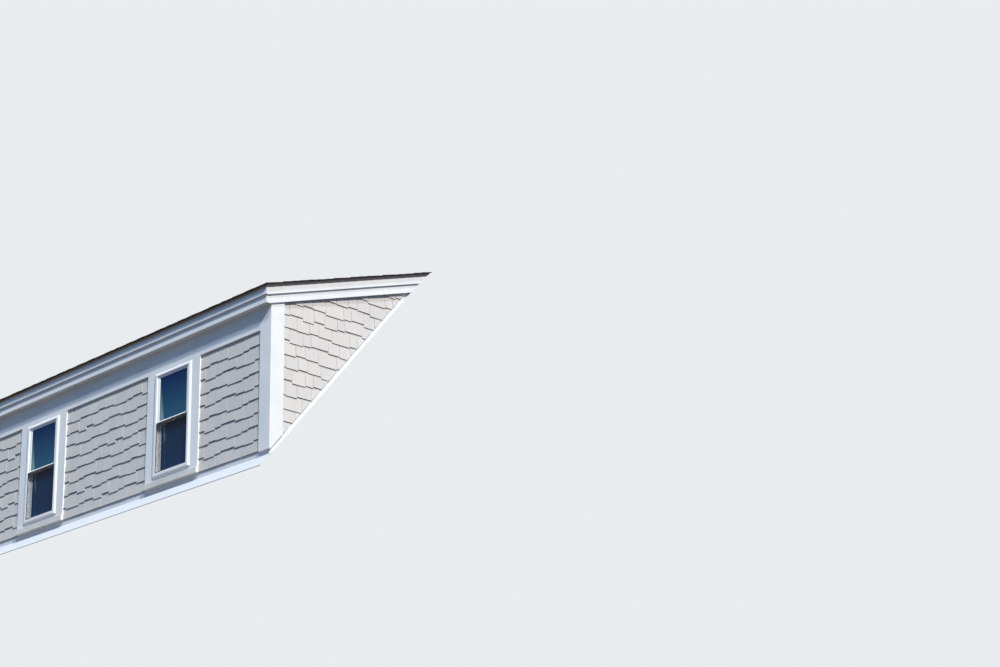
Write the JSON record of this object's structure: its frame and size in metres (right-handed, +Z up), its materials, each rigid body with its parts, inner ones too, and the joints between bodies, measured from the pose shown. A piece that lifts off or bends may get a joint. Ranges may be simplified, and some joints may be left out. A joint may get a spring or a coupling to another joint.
{
  "type": "shed dormer with two windows",
  "caption": "Timber-framed shed dormer with double-hung windows, shingled front and cheeks, white trim and a low shingled roof, to stand on a steep roof slope.",
  "frame": {"origin": "middle of the underside of the front sole plate, on the slope of the main roof", "axes": "+X along the dormer's front to the right seen from outside, -Y out of the front, +Z up"},
  "size_m": [6.282, 2.4649, 2.8241],
  "materials": {
    "framing_timber": "sawn softwood",
    "sheathing_board": "plywood",
    "roof_shingle": "asphalt shingle with brown and tan granules",
    "wall_shingle": "factory-painted fibre-cement shingle",
    "white_trim": "satin white paint",
    "dark_drip_edge": "coil-coated aluminium",
    "white_flashing": "coil-coated aluminium",
    "white_vinyl": "extruded vinyl",
    "window_glass": "double glazing"
  },
  "bodies": {
    "root": {"front_sole_plate": "framing_timber", "left_sole_plate": "framing_timber", "right_sole_plate": "framing_timber", "rafter_sleeper": "framing_timber", "front_studs": "framing_timber", "jack_studs": "framing_timber", "window_headers": "framing_timber", "rough_sills": "framing_timber", "front_top_plate": "framing_timber", "front_cap_plate": "framing_timber", "left_cheek_studs": "framing_timber", "right_cheek_studs": "framing_timber", "left_cheek_plate": "framing_timber", "right_cheek_plate": "framing_timber", "rafters": "framing_timber", "front_sheathing": "sheathing_board", "left_sheathing": "sheathing_board", "right_sheathing": "sheathing_board", "roof_deck": "sheathing_board", "roof_shingles": "roof_shingle", "front_siding": "wall_shingle", "left_siding": "wall_shingle", "right_siding": "wall_shingle", "left_corner_board": "white_trim", "right_corner_board": "white_trim", "frieze_board": "white_trim", "window_casings": "white_trim", "window_sills": "white_trim", "fascia_board": "white_trim", "fascia_shadow_board": "white_trim", "left_rake_board": "white_trim", "right_rake_board": "white_trim", "left_rake_shadow": "white_trim", "right_rake_shadow": "white_trim", "left_rake_packer": "framing_timber", "right_rake_packer": "framing_timber", "soffit_board": "white_trim", "drip_edge": "dark_drip_edge", "apron_flashing": "white_flashing", "left_step_flashing": "white_flashing", "right_step_flashing": "white_flashing", "window_frames": "white_vinyl", "upper_sashes": "white_vinyl", "lower_sashes": "white_vinyl", "window_glass": "window_glass"}
  },
  "joints": []
}
